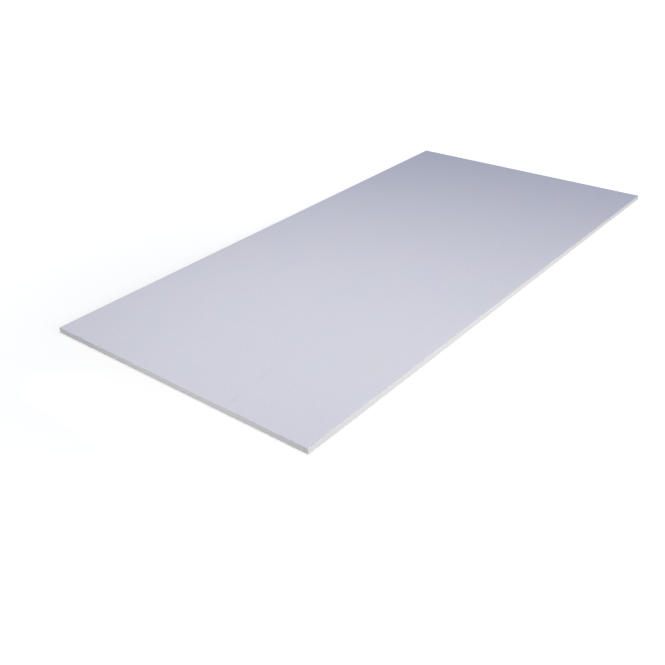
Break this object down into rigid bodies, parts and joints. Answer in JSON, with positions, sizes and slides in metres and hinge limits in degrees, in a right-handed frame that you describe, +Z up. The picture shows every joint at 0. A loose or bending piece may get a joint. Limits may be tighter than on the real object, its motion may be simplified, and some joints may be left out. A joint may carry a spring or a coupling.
{
  "type": "drywall sheet",
  "caption": "Flat rectangular gypsum board with a lilac-grey paper face, a khaki paper back and pale square edges, for lining walls and ceilings.",
  "frame": {"origin": "middle of the back face, on the floor that the sheet lies on", "axes": "+X along the length, between the cut ends; +Y across the width, between the bound long edges; +Z up, out of the lilac-grey face"},
  "size_m": [1.8, 0.9, 0.015],
  "materials": {
    "board_paper": "matte"
  },
  "bodies": {
    "root": {"drywall_sheet": "board_paper"}
  },
  "joints": []
}
